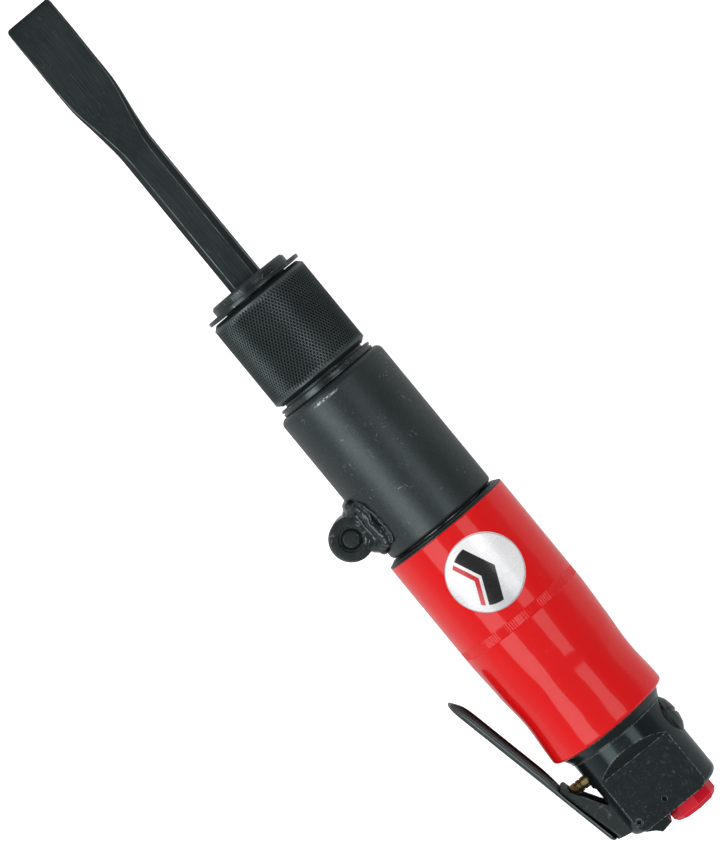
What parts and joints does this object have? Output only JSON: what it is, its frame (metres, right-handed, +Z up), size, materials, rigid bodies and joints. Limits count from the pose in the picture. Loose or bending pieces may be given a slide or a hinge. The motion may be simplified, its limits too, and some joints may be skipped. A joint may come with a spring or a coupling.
{
  "type": "pneumatic air hammer",
  "caption": "Inline pneumatic chipping hammer with a lever throttle, a quick-lock sleeve and a flat flux chisel, lying on its side.",
  "frame": {"origin": "centre of the nose face on the tool axis, at the mouth of the square chisel socket", "axes": "+X along the tool axis from the nose back to the air inlet (the chisel points along -X); -Y is the throttle lever's side; +Z is up, square to the upper wrench flat, with the tool lying on its side"},
  "size_m": [0.3657, 0.0655, 0.0501],
  "materials": {
    "black_oxide_steel": "black oxide over fine grinding marks, light wear on edges",
    "phosphated_steel": "black phosphate, satin, faint handling marks",
    "knurled_black": "fine diamond knurl, black oxide",
    "black_head_paint": "thin satin black paint over machining marks, chipped at slot edge",
    "pressed_black_steel": "black coated sheet steel, semi-gloss",
    "red_gloss_paint": "glossy red paint with soft highlights",
    "red_plastic": "moulded red plastic",
    "badge_foil": null,
    "brass_pin": "turned brass",
    "bright_steel": "ground and hardened steel",
    "spring_steel": "spring steel",
    "black_rubber": "nitrile rubber",
    "muffler_felt": "pressed felt",
    "screen_brass": "pierced brass sheet"
  },
  "bodies": {
    "tool": {"chisel_bush": "phosphated_steel", "sleeve_o_ring": "black_rubber", "nose_washer": "black_oxide_steel", "thrust_washer": "phosphated_steel", "lock_ring": "phosphated_steel", "barrel": "phosphated_steel", "lug_eye": "phosphated_steel", "lug_pin": "black_oxide_steel", "lug_weld": "phosphated_steel", "cylinder": "bright_steel", "front_collar": "phosphated_steel", "handle_tube": "phosphated_steel", "grip_sleeve": "red_gloss_paint", "name_badge": "badge_foil", "exhaust_muffler": "muffler_felt", "valve_box": "bright_steel", "valve_cover": "bright_steel", "valve_dowels": "spring_steel", "preload_washer": "spring_steel", "rear_head": "black_head_paint", "head_o_ring": "black_rubber", "inlet_bush": "bright_steel", "inlet_screen": "screen_brass", "exhaust_deflector": "black_head_paint", "valve_cap": "black_oxide_steel", "cap_gasket": "black_rubber", "throttle_spring": "spring_steel", "throttle_seat": "brass_pin", "pin_guide": "bright_steel", "pin_seal": "black_rubber", "lever_pin": "spring_steel"},
    "chisel_tool": {"chisel": "black_oxide_steel"},
    "lock_sleeve": {"knurled_sleeve": "knurled_black"},
    "lock_detent": {"lock_ball": "bright_steel"},
    "hammer_piston": {"piston": "bright_steel"},
    "main_valve": {"valve_plate": "spring_steel"},
    "throttle_lever": {"trigger_lever": "pressed_black_steel", "lever_bracket": "pressed_black_steel"},
    "push_pin": {"valve_pin": "brass_pin"},
    "throttle_valve": {"throttle_ball": "bright_steel"},
    "inlet_plug": {"transit_plug": "red_plastic"}
  },
  "joints": [
    {"name": "chisel_slide", "type": "slide", "parent": "tool", "child": "chisel_tool", "axis": [-1, 0, 0], "range_m": [0, 0.006]},
    {"name": "sleeve_turn", "type": "hinge", "parent": "tool", "child": "lock_sleeve", "pos_m": [0.024, 0, 0], "axis": [1, 0, 0], "range_deg": [0, 60]},
    {"name": "ball_lift", "type": "slide", "parent": "tool", "child": "lock_detent", "axis": [0, 0, 1], "range_m": [0, 0.0014]},
    {"name": "piston_stroke", "type": "slide", "parent": "tool", "child": "hammer_piston", "axis": [1, 0, 0], "range_m": [0, 0.062]},
    {"name": "valve_shift", "type": "slide", "parent": "tool", "child": "main_valve", "axis": [1, 0, 0], "range_m": [0, 0.0009]},
    {"name": "lever_press", "type": "hinge", "parent": "tool", "child": "throttle_lever", "pos_m": [0.2343, -0.0131, 0], "axis": [0, 0, -1], "range_deg": [0, 8], "stiffness_Nm_per_rad": 2, "springref_deg": -2.86},
    {"name": "pin_push", "type": "slide", "parent": "tool", "child": "push_pin", "axis": [0, 1, 0], "range_m": [0, 0.0034]},
    {"name": "throttle_open", "type": "slide", "parent": "tool", "child": "throttle_valve", "axis": [0, 1, 0], "range_m": [0, 0.0034], "deforming": ["throttle_spring"]},
    {"name": "plug_out", "type": "slide", "parent": "tool", "child": "inlet_plug", "axis": [1, 0, 0], "range_m": [0, 0.025]}
  ],
  "couplings": [
    {"joint": "ball_lift", "follows": "sleeve_turn", "m_per_rad": 0.001336},
    {"joint": "pin_push", "follows": "lever_press", "m_per_rad": 0.02284},
    {"joint": "throttle_open", "follows": "lever_press", "m_per_rad": 0.02284}
  ]
}
